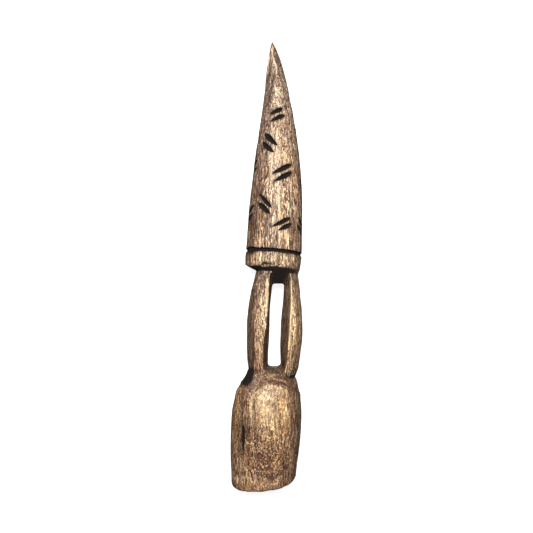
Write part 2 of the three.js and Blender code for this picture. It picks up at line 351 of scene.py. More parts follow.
# The marks. The real ones are pairs of knife cuts, each a slim leaf with a
# deep belly, scorched black inside. They wind up the cone in leaning pairs.
# Each row: angle from the front, height, slant, length, width, belly.
MARKS = [
    # The five pairs at the front.
    (-4.8, 100.4, 26.8, 10.0, 3.3, 0.60), (-0.2, 95.7, 24.6, 10.8, 3.3, 0.60),
    (-21.2, 81.2, -42.5, 13.4, 3.8, 0.42), (-28.2, 75.9, -40.6, 12.0, 3.5, 0.44),
    (11.4, 61.2, 26.9, 14.8, 3.3, 0.60), (13.8, 56.0, 28.5, 14.4, 3.3, 0.60),
    (-23.8, 39.5, -47.2, 13.6, 2.8, 0.50), (-26.5, 34.5, -41.0, 12.4, 3.5, 0.50),
    (11.8, 25.2, 29.9, 15.0, 2.8, 0.60), (20.2, 22.2, 30.5, 11.0, 3.0, 0.60),
    # Two pairs at the right edge, and two at the left.
    (84.0, 56.5, -52.0, 11.5, 2.8, 0.50), (79.0, 51.5, -52.0, 11.5, 2.8, 0.50),
    (70.0, 26.4, -40.0, 11.5, 2.8, 0.50), (68.0, 21.6, -36.0, 11.5, 2.8, 0.50),
    (-80.0, 65.0, 36.0, 12.0, 2.7, 0.60), (-80.0, 59.6, 36.0, 12.0, 2.7, 0.60),
    (-71.0, 33.5, 36.0, 12.0, 2.8, 0.60), (-73.0, 27.5, 36.0, 12.0, 2.8, 0.60),
    # Five pairs on the back, in the same rhythm.
    (178.0, 84.0, -43.5, 10.5, 2.8, 0.45), (172.0, 79.0, -43.5, 10.5, 2.8, 0.45),
    (145.0, 63.0, 27.5, 12.0, 2.9, 0.60), (148.5, 58.2, 27.5, 12.0, 2.9, 0.60),
    (148.0, 27.0, 27.5, 12.0, 2.9, 0.60), (151.0, 22.2, 27.5, 12.0, 2.9, 0.60),
    (-146.0, 47.0, -43.5, 12.0, 2.9, 0.45), (-150.0, 41.8, -43.5, 12.0, 2.9, 0.45),
    (-150.0, 20.0, -43.5, 11.5, 2.9, 0.45), (-154.0, 14.8, -43.5, 11.5, 2.9, 0.45),
]
MARK_DEPTH_SHARE = 0.5
MARK_RAGGEDNESS = 0.22

# The blade that cuts a mark: how its ends run out, how its walls swell, how far
# it stands above the skin, and the small steps that find which way it runs.
BLADE_CORNERS = 6
BLADE_END = [0.1, 1.0]
BLADE_END_SHARE = 0.004
TAPER = 1.65
WALL_WIDTH_SHARE = 0.62
WALL_DEPTH_SHARE = 0.5
RAGGED_LENGTH = 1.6
LEAST_DEPTH = 0.05
ABOVE_SKIN = 0.7
AIM_ROUND = 0.5
AIM_ALONG = 0.15


def millimetres_per_degree(angle, y):
    return float(np.linalg.norm(carved(angle + 0.5, y) - carved(angle - 0.5, y)))


def corner_numbers(degrees):
    """Which of a blade's six corners lies at each angle."""
    return np.round(degrees / (360 / BLADE_CORNERS)).astype(int) % BLADE_CORNERS


def leaf_cutter(name, angle, y, slant, length, width, belly, depth, raggedness, stations=26):
    """A closed blade of a cutter: V-shaped below the skin, with its top above it."""
    blade = closed_bar(name, BLADE_CORNERS, BLADE_END, steps(0, 1 / MM, stations) + [1 / MM])
    cage = points_of(blade)
    share = np.clip(cage[:, 1] * MM, BLADE_END_SHARE, 1 - BLADE_END_SHARE)
    corner = corner_numbers(degrees_round(cage))
    fullness = ((share / belly) ** belly * ((1 - share) / (1 - belly)) ** (1 - belly)) ** TAPER

    # The line of the cut on the skin, and the direction across it.
    ahead = (share - 0.5) * length
    turn = math.radians(slant)
    angles = angle + ahead * math.cos(turn) / millimetres_per_degree(angle, y)
    heights = y + ahead * math.sin(turn)
    spots, outward = shaped(angles, heights)
    aim = AIM_ROUND * math.cos(turn)
    climb = AIM_ALONG * math.sin(turn)
    forward = carved(angles + aim, heights + climb) - carved(angles - aim, heights - climb)
    aside = np.cross(outward, forward)
    aside /= np.linalg.norm(aside, axis=1)[:, None]

    # Corner 0 is the bottom of the V, 1 and 5 are its walls, 2 to 4 are above the skin.
    torn = np.array([
        noise.noise((s * length / RAGGED_LENGTH, angle, y + c)) for s, c in zip(share, corner)])
    ragged = raggedness * torn * fullness
    half = width / 2 * fullness
    deep = depth * fullness
    at_wall = half * WALL_WIDTH_SHARE + ragged
    at_rim = half + half / np.maximum(deep, LEAST_DEPTH) * ABOVE_SKIN + ragged
    offsets = np.select(
        [corner == 1, corner == 2, corner == 4, corner == 5], [at_wall, at_rim, -at_rim, -at_wall], 0)
    rises = np.select(
        [corner == 0, (corner == 1) | (corner == 5)], [-deep, -deep * WALL_DEPTH_SHARE], ABOVE_SKIN)
    move_points(blade, spots + aside * offsets[:, None] + outward * rises[:, None])
    return blade


cutters = [
    leaf_cutter("mark", *place, width, belly, depth=width * MARK_DEPTH_SHARE,
                raggedness=MARK_RAGGEDNESS)
    for *place, width, belly in MARKS]

# A splinter has come off the collar's lower edge.
CHIP_SHIFT = (1.6, -0.8, 0)
chip = leaf_cutter("chip", angle=-17.0, y=-2.5, slant=5.0, length=8.0, width=3.0, belly=0.38,
                   depth=1.2, raggedness=0.9)
move_points(chip, points_of(chip) + CHIP_SHIFT)


# The ring groove. The real one is cut by hand round the cone, a little wavy,
# with a flat floor, and torn wider on the left where the two ends meet.
GROOVE_Y = 6.6
GROOVE_WIDTH = 2.5
GROOVE_FLOOR = 1.1
GROOVE_DEPTH = 1.7
GROOVE_STATIONS = 180
GROOVE_START_RADIUS = 4
WIDTH_WANDER = 0.35
PLACE_WANDER = 0.4
DEPTH_WANDER = 0.3
WANDER_WAVES = 3.1
WANDER_SHIFT = 2.7
NICK_DEPTH = 0.3
NICK_DEGREES = 2.2
NICK_SHIFT = 1.5
TEAR_ANGLE = -60
TEAR_REACH = 16
TEAR_WIDTH = 1.1

# Toward the sides it gets shallower, between these angles from the front.
SHALLOW_ANGLES = (50, 75)
SHALLOW_SHARE = 0.5

bpy.ops.object.select_all(action="DESELECT")
bpy.ops.mesh.primitive_torus_add(
    major_segments=GROOVE_STATIONS, minor_segments=BLADE_CORNERS, major_radius=BILLET_RADIUS * MM,
    minor_radius=GROOVE_START_RADIUS * MM, rotation=(math.radians(90), 0, 0))
groove = bpy.context.object
bpy.ops.object.transform_apply(location=False, rotation=True, scale=False)
ring = points_of(groove)
angles = degrees_round(ring)
outer = np.hypot(ring[:, 0], ring[:, 2]) - BILLET_RADIUS
corner = corner_numbers(np.degrees(np.arctan2(ring[:, 1], outer)))
wander = np.array([
    [noise.noise((math.cos(turn) * WANDER_WAVES, math.sin(turn) * WANDER_WAVES, i * WANDER_SHIFT))
     for i in range(3)] for turn in np.radians(angles)])
nicks = np.array([noise.noise((a / NICK_DEGREES, c, NICK_SHIFT)) for a, c in zip(angles, corner)])
tear = np.exp(-((angles - TEAR_ANGLE) / TEAR_REACH) ** 2) * TEAR_WIDTH / 2
half = GROOVE_WIDTH / 2 + WIDTH_WANDER * wander[:, 0] + NICK_DEPTH * nicks + tear
floor = GROOVE_FLOOR / 2 + tear
middle = GROOVE_Y + PLACE_WANDER * wander[:, 1]
shallow = SHALLOW_SHARE * smooth_step(*SHALLOW_ANGLES, np.abs(angles))
deep = (GROOVE_DEPTH + DEPTH_WANDER * wander[:, 2]) * (1 - shallow)
spread = (half - floor) / deep

# Corners 5, 0 and 1 are above the skin, and 2 to 4 on the floor. Corners 1 and 2
# are on the side of the point, and 4 and 5 on the side of the foot.
side = np.select([corner % 3 == 0, corner < 3], [0, 1], -1)
top = (corner == 0) | (corner == 1) | (corner == 5)
offsets = side * np.where(top, half + spread * ABOVE_SKIN, floor)
spots, outward = shaped(angles, middle + offsets)
move_points(groove, spots + outward * np.where(top, ABOVE_SKIN, -deep)[:, None])
cutters.append(groove)


# The slot. The real neck is pierced from front to back, which leaves a bar on
# each side. The opening is narrowest halfway through and widens to both faces.
# The outlines run round it from the upper left corner, as x and y.
SLOT_MID_Z = 19.0
SLOT_FACE_RISE = 14.0
SLOT_REACH = 29.0
SLOT_SIDES = 84
SLOT_STEPS = 40
SLOT_AT_MID = [
    [4.0, -14.0], [12.0, -14.0], [10.7, -25.0], [9.6, -40.0], [9.1, -54.0], [9.3, -68.5],
    [5.0, -69.2], [0.6, -68.8], [1.6, -54.0], [1.9, -42.0], [2.5, -30.0], [3.4, -18.0],
]
SLOT_AT_FACE = [
    [1.7, -4.4], [17.4, -4.7], [16.4, -25.0], [15.0, -44.0], [14.0, -56.0], [12.4, -71.6],
    [5.0, -73.4], [-2.6, -70.2], [-1.5, -52.0], [-0.1, -42.0], [0.9, -32.0], [1.6, -18.0],
]
WALL_CUT_DEPTH = 0.5
WALL_CUT_SIZES = (9, 16, 6)


def softened_outline(corners, count):
    """Evenly spaced points round a closed outline, with its corners eased."""
    loop = np.array(corners + corners[:1])
    reach = np.concatenate(([0], np.cumsum(np.linalg.norm(np.diff(loop, axis=0), axis=1))))
    spots = np.linspace(0, reach[-1], count, endpoint=False)
    outline = np.stack([np.interp(spots, reach, loop[:, axis]) for axis in (0, 1)], 1)
    return (np.roll(outline, 1, 0) + 2 * outline + np.roll(outline, -1, 0)) / 4


slot = closed_bar(
    "slot", SLOT_SIDES, BLADE_END, steps(-SLOT_REACH, SLOT_REACH, SLOT_STEPS) + [SLOT_REACH])
cage = points_of(slot)
side_number = np.round(degrees_round(cage) / 360 * SLOT_SIDES).astype(int) % SLOT_SIDES
rise = cage[:, 1]
widening = (np.abs(rise) / SLOT_FACE_RISE)[:, None]
at_mid = softened_outline(SLOT_AT_MID, SLOT_SIDES)[side_number]
at_face = softened_outline(SLOT_AT_FACE, SLOT_SIDES)[side_number]
wall = at_mid + (at_face - at_mid) * widening
wall_cuts = np.array([noise.noise(spot) for spot in np.column_stack((wall, rise)) / WALL_CUT_SIZES])
wall[:, 0] += WALL_CUT_DEPTH * wall_cuts
move_points(slot, np.column_stack((wall, SLOT_MID_Z + rise)))


# The crack. The real foot has opened along the grain on the left of its front,
# deep and black, with torn edges.
crack = leaf_cutter("crack", angle=-38.5, y=-113.8, slant=91.0, length=21.5, width=2.6, belly=0.68,
                    depth=3.4, raggedness=0.9, stations=70)

# The cutters take the wood away. Each kind gives the faces it makes a number of their own.
SKIN, SCORCHED, PIERCED, CRACKED, CHIPPED = range(5)


def join(pieces, name, skin):
    """One object out of several, with one material that shows which cutter made a face."""
    for piece in pieces:
        face_outward(piece)
        piece.data.materials.append(skin)
    bpy.ops.object.select_all(action="DESELECT")
    for piece in pieces:
        piece.select_set(True)
    bpy.context.view_layer.objects.active = pieces[0]
    if len(pieces) > 1:
        bpy.ops.object.join()
    pieces[0].name = name
    return pieces[0]


skins = [
    bpy.data.materials.new(name) for name in ("skin", "scorched", "pierced", "cracked", "chipped")]
tapper.data.materials.append(skins[SKIN])
for pieces, kind in ((cutters, SCORCHED), ([slot], PIERCED), ([crack], CRACKED), ([chip], CHIPPED)):
    cutter = join(pieces, "cutter", skins[kind])
    apply_modifier(tapper, "BOOLEAN", operation="DIFFERENCE", solver="EXACT",
                   object=cutter, material_mode="TRANSFER")
    bpy.data.objects.remove(cutter)


# Wear. The real tapper has been handled for years: the edges of the slot and
# of the cuts are rounded, hollows hold dirt, and raised parts are polished.
RESTS_AT_Z = 0.0
EDGE_REACH = 1.3
EDGE_ROUNDS = 5
FORM_ROUNDS = 60
SOOT_REACH = 0.9


def relaxed(points, edges, rounds, weight=1.0):
    """The points drawn half way to the middle of their neighbours, over and over."""
    count = np.bincount(edges.ravel(), minlength=len(points))[:, None]
    for _ in range(rounds):
        total = np.stack([
            np.bincount(edges[:, 0], points[edges[:, 1], axis], len(points))
            + np.bincount(edges[:, 1], points[edges[:, 0], axis], len(points))
            for axis in range(points.shape[1])], 1)
        points = points + (total / count - points) * 0.5 * weight
    return points


def distance_to(points, targets):
    tree = kdtree.KDTree(len(targets))
    for i, target in enumerate(targets):
        tree.insert(target, i)
    tree.balance()
    return np.array([tree.find(point)[2] for point in points])


mesh = tapper.data
cut_by = np.empty(len(mesh.polygons), int)
mesh.polygons.foreach_get("material_index", cut_by)
touched = [set() for _ in skins]
for face, number in zip(mesh.polygons, cut_by):
    touched[number].update(face.vertices)
edges = np.empty(len(mesh.edges) * 2, int)
mesh.edges.foreach_get("vertices", edges)
edges = edges.reshape(-1, 2)
points = points_of(tapper)
slot_edge = points[sorted(touched[SKIN] & touched[PIERCED])]
near_slot = np.clip(1 - distance_to(points, slot_edge) / EDGE_REACH, 0, 1)[:, None]
points = relaxed(points, edges, EDGE_ROUNDS, near_slot)
points[:, 2] = np.maximum(points[:, 2], RESTS_AT_Z)
move_points(tapper, points)

# Soot lies thickest at the edges of the cuts. The form says how far each point
# stands out from the broad shape round it, and is negative in a hollow.
normals = point_normals(tapper)
heights = points[:, 1]
cut_edge = points[sorted(touched[SKIN] & (touched[SCORCHED] | touched[CRACKED] | touched[CHIPPED]))]
soot = np.exp(-distance_to(points, cut_edge) / SOOT_REACH)
form = ((points - relaxed(points, edges, FORM_ROUNDS)) * normals).sum(1)

# Where the wood shows its end grain or faces the foot, by how far it leans that
# way: the lean at which this starts, and how much more makes it whole.
END_GRAIN_LEAN = (0.3, 0.5)
FOOT_LEAN = (0.35, 0.3)
UNDERSIDE_Y = -8
UNDERSIDE_REACH = 13
BUTT_BELOW_Y = -140


def leaning(lean, start, more):
    return np.clip((lean - start) / more, 0, 1)


end_grain = leaning(np.abs(normals[:, 1]), *END_GRAIN_LEAN)
facing_foot = leaning(-normals[:, 1], *FOOT_LEAN)

# The sides are painted darker: partly a dark brown skin that is worn off the
# front, and partly painted shade where the wood turns away from the light. It
# starts this far across at each height: 0 is the middle of the wood, and 1 its side.
LEFT_SKIN_AND_SHADE = [
    [-75, 0.9], [-62, 0.7], [-30, 0.74], [-18, 0.56], [-8, 0.5], [0, 0.85], [30, 0.68], [60, 0.5],
    [100, 0.28], [115, 0.4], [130, 0.7], [150, 0.9],
]
RIGHT_SKIN_AND_SHADE = [[-75, 0.98], [-8, 0.98], [0, 0.87], [60, 0.8], [110, 0.74], [150, 0.62]]
SKIN_AND_SHADE_EDGE = 0.1
FLANKS_FROM_Y = (-78, -70)

# A brown band lies over the shoulder, from its ridge to the start of the neck.
BAND_STARTS = (-79.5, -77.5)
BAND_ENDS = (-67, -72)

# The colour is strongest in the foot, and weaker toward the point.
RICHNESS = [[-90, 1.04], [0, 0.93], [60, 0.88], [110, 0.76]]


def share_across(rows, points):
    """How far from the middle of the wood: -1 at its left side, 1 at its right."""
    left, right = along(rows, 1, points[:, 1]), along(rows, 2, points[:, 1])
    return np.clip((2 * points[:, 0] - right - left) / (right - left), -1, 1)


on_cone, on_neck, on_bell = (share_across(rows, points) for rows in (CONE, NECK, BELL))
across = np.select([heights > COLLAR_Y, heights > NECK_FOOT_Y], [on_cone, on_neck], on_bell)
into_skin_and_shade = np.maximum(-across - np.interp(heights, *zip(*LEFT_SKIN_AND_SHADE)),
                       across - np.interp(heights, *zip(*RIGHT_SKIN_AND_SHADE)))
flank = smooth_step(-SKIN_AND_SHADE_EDGE, SKIN_AND_SHADE_EDGE, into_skin_and_shade) * smooth_step(*FLANKS_FROM_Y, heights)
above_ridge = heights + along(ARCH_ACROSS, 1, on_bell) * ARCH_HEIGHT
band = smooth_step(*BAND_STARTS, above_ridge) * smooth_step(*BAND_ENDS, heights)

# Handling and stain, with painted light and shade: the pale and polish tones
# are partly painted highlights, and the dark and black tones partly painted
# shade. Each row: tone, middle, reach across and along, strength.
PATCHES = [
    # On the cone.
    ("dark", 0.9, 113.6, 2.2, 11.5, 0.5), ("dark", 4.0, 134.0, 4.0, 8.0, 0.35),
    ("dark", -1.1, 95.5, 1.9, 9.0, 0.45), ("dark", -6.9, 50.4, 2.6, 28.8, 0.45),
    ("dark", 21.6, 43.8, 1.4, 28.8, 0.35), ("dark", 9.4, 51.4, 1.9, 0.6, 0.6),
    ("dark", 5.5, 144.9, 0.6, 0.8, 0.8), ("pale", 8.4, 113.0, 4.2, 12.0, 0.8),
    ("pale", 6.5, 97.0, 5.0, 7.0, 0.4), ("pale", 5.4, 78.5, 3.0, 15.0, 0.3),
    ("pale", 9.3, 43.8, 5.1, 25.6, 0.35), ("pale", 2.2, 34.0, 2.6, 19.2, 0.35),
    ("gold", 3.7, 147.3, 1.9, 1.9, 1.0), ("gold", 10.6, 30.8, 2.6, 19.2, 0.4),
    ("gold", 9.5, 92.0, 3.5, 10.0, 0.6), ("gold", 11.5, 70.0, 2.6, 16.0, 0.4),
    ("swirl", 8.9, 115.0, 3.5, 12.0, 0.9), ("swirl", 12.0, 78.0, 4.5, 12.0, 0.7),
    ("polish", 6.0, 60.0, 3.0, 22.0, 0.3),
    # On the collar, in its groove and under its edge.
    ("black", 14.5, -6.0, 5.0, 1.2, 1.9), ("black", 14.3, -4.6, 3.8, 1.2, 1.6),
    ("black", -4.5, -4.5, 6.5, 1.0, 1.6), ("black", -10.4, 7.0, 3.0, 1.4, 1.2),
    ("pale", 3.0, 0.5, 12.0, 5.0, 0.9), ("pale", 4.0, 14.0, 11.0, 8.0, 0.4),
    # On the bars of the neck.
    ("dark", -11.6, -44.0, 3.4, 26.0, 1.3), ("dark", -8.7, -54.0, 0.8, 15.4, 1.2),
    ("dark", 17.8, -65.7, 4.5, 5.1, 0.5), ("dark", -6.0, -9.0, 7.0, 4.5, 1.2),
    ("dark", -3.0, -8.6, 4.0, 3.0, 0.8), ("dark", 18.0, -10.0, 5.0, 5.0, 0.9),
    ("black", -8.7, -60.0, 0.7, 9.0, 0.8), ("pale", -2.2, -28.0, 3.0, 16.0, 0.9),
    ("pale", -5.0, -52.0, 2.6, 13.0, 0.6), ("pale", 17.6, -42.3, 4.2, 17.0, 1.0),
    ("pale", 16.0, -24.3, 1.0, 14.1, 0.8), ("gold", 19.0, -43.6, 2.6, 15.4, 0.5),
    ("swirl", 16.0, -50.0, 8.0, 24.0, 0.25), ("swirl", -6.0, -45.0, 7.0, 28.0, 0.25),
    ("worn", -5.6, -69.5, 3.5, 4.0, 1.0),
    # On the shoulder.
    ("dark", -9.8, -71.6, 1.6, 3.8, 0.8), ("black", -10.2, -71.4, 2.2, 1.9, 2.0),
    ("black", -12.2, -74.8, 3.0, 2.1, 2.2), ("black", -14.6, -77.7, 3.1, 1.8, 2.0),
    ("black", 16.8, -74.9, 3.4, 0.8, 2.0), ("pale", 4.3, -73.7, 1.3, 0.5, 1.0),
    # On the foot.
    ("dark", -11.5, -108.0, 1.6, 8.0, 0.8), ("dark", -0.4, -123.0, 16.6, 12.8, 0.2),
    ("dark", 19.8, -103.0, 3.2, 28.8, 0.95), ("dark", -20.0, -117.5, 3.2, 22.0, 0.3),
    ("dark", -14.3, -98.0, 3.0, 12.0, 1.1), ("pale", -15.0, -130.0, 6.0, 7.0, 0.3),
    ("pale", -9.8, -94.0, 0.5, 9.0, 0.8), ("pale", -1.7, -84.8, 5.8, 6.4, 1.3),
    ("pale", 3.5, -99.0, 9.0, 12.0, 0.7), ("pale", -15.1, -141.0, 7.0, 2.6, 0.55),
    ("gold", 7.8, -98.5, 5.1, 12.2, 0.8), ("gold", -18.8, -90.0, 1.6, 9.0, 1.3),
    ("gold", -20.5, -104.0, 2.4, 14.0, 0.6), ("gold", 0.2, -112.6, 6.4, 3.2, 0.3),
    ("swirl", -0.5, -122.0, 15.0, 17.0, 1.2), ("swirl", 3.0, -84.0, 9.0, 9.0, 0.9),
    ("swirl", 0.0, -112.0, 22.0, 34.0, 0.3), ("polish", -1.5, -86.5, 6.0, 7.5, 0.8),
    ("polish", 2.5, -98.0, 8.0, 10.0, 0.5),
]

# Single lines of grain and wear, and pale lines that are partly painted
# highlights along ridges and edges. Each row: tone, strength, width, then the
# places that the line runs through.
STROKES = [
    # On the cone.
    ("line_pale", 0.7, 0.42, (3.7, 145.0), (4.1, 139.4), (5.1, 136.0), (6.2, 132.5), (6.7, 127.0)),
    ("line_pale", 0.8, 0.4, (1.8, 139.3), (0.7, 128.0)),
    ("line_dark", 1.0, 0.5, (5.7, 145.0), (8.0, 139.0), (9.4, 133.0)),
    ("line_dark", 0.8, 0.45, (5.6, 139.5), (6.6, 135.0), (8.3, 129.5), (8.8, 125.0)),
    ("line_dark", 0.9, 0.55, (5.4, 127.5), (4.6, 124.0), (2.6, 112.7), (0.6, 105.0)),
    ("line_dark", 0.7, 0.5, (2.2, 137.0), (1.6, 128.0), (-0.2, 118.0)),
    ("line_dark", 0.6, 0.5, (9.6, 124.0), (11.8, 112.0), (14.2, 97.0)),
    ("line_pale", 0.45, 0.6, (3.4, 92.0), (4.6, 80.0), (3.2, 66.0), (2.6, 52.0)),
    ("line_pale", 0.4, 0.5, (6.6, 86.0), (7.0, 70.0)),
    ("line_dark", 0.6, 0.5, (1.8, 60.0), (1.2, 40.0), (0.4, 18.0)),
    ("line_pale", 0.45, 0.5, (7.6, 50.0), (8.4, 36.0), (7.8, 14.0)),
    ("line_dark", 0.6, 0.5, (-5.2, 56.0), (-7.8, 30.0), (-8.6, 10.0)),
    # On the bars of the neck.
    ("line_dark", 0.9, 0.5, (-8.6, -38.0), (-8.9, -52.0), (-9.0, -68.0)),
    ("line_pale", 0.6, 0.6, (0.6, -12.0), (0.2, -22.0), (-0.6, -32.0)),
    ("line_pale", 1.1, 0.55, (15.6, -12.0), (15.8, -26.0), (15.0, -44.0), (14.2, -56.0)),
    # On the foot, and along the ridge of its shoulder.
    ("line_pale", 0.4, 0.4, (-9.8, -86.0), (-9.9, -104.0)),
    ("line_dark", 0.55, 0.45, (-7.9, -87.0), (-7.7, -96.0), (-7.4, -109.0)),
    ("line_dark", 0.6, 0.5, (-11.2, -104.0), (-11.0, -120.0), (-11.6, -130.0)),
    ("line_dark", 0.6, 0.7, (-12.0, -83.6), (-6.9, -78.2), (1.6, -75.9), (8.9, -76.9), (15.9, -79.6)),
    ("line_dark", 0.5, 0.5, (-8.7, -76.6), (-3.4, -73.7), (3.8, -73.4), (10.9, -74.8), (15.8, -77.6)),
    ("line_pale", 0.2, 0.4, (-7.5, -75.6), (-2.6, -74.9), (3.8, -74.6), (10.4, -76.0), (15.0, -78.8)),
    ("pale", 0.5, 2.0, (-6.0, -81.6), (1.6, -79.3), (8.4, -80.3), (14.2, -82.8)),
    ("line_pale", 0.9, 0.5, (2.5, -73.2), (5.4, -73.0)),
    ("line_pale", 0.6, 0.45, (-12.9, -115.2), (-9.8, -115.6)),
    ("line_dark", 0.65, 1.3, (1.5, -138.4), (5.8, -137.0), (9.7, -134.2), (12.2, -131.0)),
]
TONES = ("dark", "black", "pale", "gold", "swirl", "worn", "polish", "line_pale", "line_dark")

# These tones lie on the front alone, and fade out where the wood turns away.
FRONT_LEAN = (-0.1, 0.35)


def patch_amount(points, x, y, across, along_y):
    """How strongly an oval patch marks each point."""
    return np.exp(-(((points[:, 0] - x) / across) ** 2 + ((points[:, 1] - y) / along_y) ** 2))


def stroke_amount(points, width, places):
    """How strongly a line through these places marks each point."""
    spots = points[:, :2]
    nearest = np.full(len(points), np.inf)
    for start, end in zip(np.array(places), np.array(places)[1:]):
        run = end - start
        share = np.clip((spots - start) @ run / (run @ run), 0, 1)
        nearest = np.minimum(nearest, np.linalg.norm(spots - start - share[:, None] * run, axis=1))
    return np.exp(-(nearest / width) ** 2)


def tone_amount(points, tone):
    """How strongly all patches and strokes of one tone mark each point."""
    amount = np.zeros(len(points))
    for patch_tone, *oval, strength in PATCHES:
        if patch_tone == tone:
            amount += strength * patch_amount(points, *oval)
    for stroke_tone, strength, width, *places in STROKES:
        if stroke_tone == tone:
            amount += strength * stroke_amount(points, width, places)
    return amount


def write_values(piece, name, values, domain="POINT"):
    piece.data.attributes.new(name, "FLOAT", domain).data.foreach_set("value", values)


write_values(tapper, "soot", soot)
write_values(tapper, "form", form)
write_values(tapper, "end_grain", end_grain)
# Painted shade, partly dark wood, on the faces under the collar that look toward the foot.
write_values(tapper, "underside", facing_foot * (np.abs(heights - UNDERSIDE_Y) < UNDERSIDE_REACH))
write_values(tapper, "butt", facing_foot * (heights < BUTT_BELOW_Y))
write_values(tapper, "flank", flank)
write_values(tapper, "band", band)
write_values(tapper, "richness", np.interp(heights, *zip(*RICHNESS)))
for tone in TONES:
    on_front = tone_amount(points, tone) * smooth_step(*FRONT_LEAN, normals[:, 2])
    write_values(tapper, tone, on_front)
write_values(tapper, "scorched", np.isin(cut_by, (SCORCHED, CRACKED)).astype(float), "FACE")
write_values(tapper, "pierced", (cut_by == PIERCED).astype(float), "FACE")


# The wood. Dense open-grained hardwood with a brown patina: long fibres with
# dark pores, broad bands of growth, scorched black cuts.
wood = bpy.data.materials.new("wood")
wood.use_nodes = True
nodes, links = wood.node_tree.nodes, wood.node_tree.links
surface = nodes["Principled BSDF"]


def plug(socket, value):
    if isinstance(value, bpy.types.NodeSocket):
        links.new(value, socket)
    else:
        socket.default_value = value


def node(kind, output, values, **settings):
    made = nodes.new("ShaderNode" + kind)
    for setting, value in settings.items():
        setattr(made, setting, value)
    for name, value in values.items():
        plug(made.inputs[name], value)
    return made.outputs[output]


def calculate(operation, *values):
    return node("Math", "Value", dict(enumerate(values)), operation=operation)


def vector_math(operation, first, second):
    return node("VectorMath", "Vector", {0: first, 1: second}, operation=operation)


def times(first, second):
    return calculate("MULTIPLY", first, second)


def the_rest(share):
    return calculate("SUBTRACT", 1.0, share)


def kept_to_one(value):
    return node("Clamp", "Result", {"Value": value})


def spread_out(value, low, high, out_low=0.0, out_high=1.0):
    """A value between low and high, spread smoothly between two others."""
    return node("MapRange", "Result", {
        "Value": value, "From Min": low, "From Max": high, "To Min": out_low, "To Max": out_high},
        interpolation_type="SMOOTHSTEP")


def stretched(vector, across, along_y, shift=0.0):
    """Coordinates counted in features of this many millimetres; the shift sets them apart."""
    return node("Mapping", "Vector", {
        "Vector": vector, "Location": (shift, shift * 3, shift * 7),
        "Scale": (1 / MM / across, 1 / MM / along_y, 1 / MM / across)})


def speckle(vector, detail=2.0, roughness=0.5, distortion=0.0, output="Fac"):
    return node("TexNoise", output, {
        "Vector": vector, "Scale": 1.0, "Detail": detail, "Roughness": roughness,
        "Distortion": distortion})


def blend(share, first, second, kind="MIX"):
    """A mix of two colours; in this node they are inputs 6 and 7, and output 2."""
    made = nodes.new("ShaderNodeMix")
    made.data_type = "RGBA"
    made.blend_type = kind
    plug(made.inputs[0], share)
    plug(made.inputs[6], first)
    plug(made.inputs[7], second)
    return made.outputs[2]


def painted(colour, layers):
    """A colour with layers over it, each given by how much of it shows and its colour."""
    for share, tint in layers:
        colour = blend(share, colour, tint)
    return colour


def attribute(name):
    return node("Attribute", "Fac", {}, attribute_name=name)


# The fibres don't run quite straight: they drift aside in long, slow waves.
DRIFT = (2.6 * MM, 0.0, 2.6 * MM)
DRIFT_ACROSS = 9
DRIFT_ALONG = 26
place = node("TexCoord", "Object", {})
wave = speckle(stretched(place, DRIFT_ACROSS, DRIFT_ALONG), output="Color")
drift = vector_math("MULTIPLY", vector_math("SUBTRACT", wave, (0.5, 0.5, 0.5)), DRIFT)
grain = vector_math("ADD", place, drift)

# Growth rings stand round a pith behind the tapper, which drifts aside along its
# length. They swirl round a hidden knot, whose place is counted once squeezed.
PITH = (4.0, -34.0)
PITH_DRIFT = (0.035, -0.05)
RING_WIDTH = 1.25
RING_LENGTH = 55.0
KNOT = (-0.5, -58.0, 40.0)
KNOT_STRETCH = (1.0, 0.5, 1.0)
KNOT_REACH = 9.0
KNOT_LIFT = 10.0
in_mm = vector_math("MULTIPLY", grain, (1 / MM,) * 3)
split = nodes.new("ShaderNodeSeparateXYZ")
links.new(in_mm, split.inputs["Vector"])
squares = []
for axis, start, lean in zip("XZ", PITH, PITH_DRIFT):
    pith = calculate("MULTIPLY_ADD", split.outputs["Y"], lean, start)
    squares.append(calculate("POWER", calculate("SUBTRACT", split.outputs[axis], pith), 2.0))
from_pith = calculate("SQRT", calculate("ADD", *squares))
squeezed = vector_math("MULTIPLY", in_mm, KNOT_STRETCH)
from_knot = node("VectorMath", "Value", {0: squeezed, 1: KNOT}, operation="DISTANCE")
knot_share = calculate("POWER", calculate("DIVIDE", from_knot, KNOT_REACH), 2.0)
knot = times(calculate("EXPONENT", times(knot_share, -1.0)), KNOT_LIFT)
ring_place = node("CombineXYZ", "Vector", {
    "X": calculate("DIVIDE", calculate("ADD", from_pith, knot), RING_WIDTH),
    "Y": calculate("DIVIDE", split.outputs["Y"], RING_LENGTH), "Z": 0.0})
rings = speckle(ring_place, detail=3.0, roughness=0.6)

# The figure of the wood, drawn out along its fibres.
PORE_CORE = 0.55
LINE_CORE = 0.3


def figure(across, along_y, shift, detail=2.0, roughness=0.5, distortion=0.0):
    """A speckle with features of this width and length, in millimetres."""
    return speckle(stretched(grain, across, along_y, shift), detail, roughness, distortion)


def pore_layer(across, along_y, shift, size):
    """Short dark dashes, the open ends of the pores."""
    cells = node("TexVoronoi", "Distance", {
        "Vector": stretched(grain, across, along_y, shift), "Scale": 1.0, "Randomness": 1.0},
        feature="F1")
    return spread_out(cells, size * PORE_CORE, size, 1.0, 0.0)


def thin_lines(value, width):
    """Thin lines where a speckle passes its middle."""
    from_middle = calculate("ABSOLUTE", calculate("SUBTRACT", value, 0.5))
    return spread_out(from_middle, width * LINE_CORE, width, 1.0, 0.0)


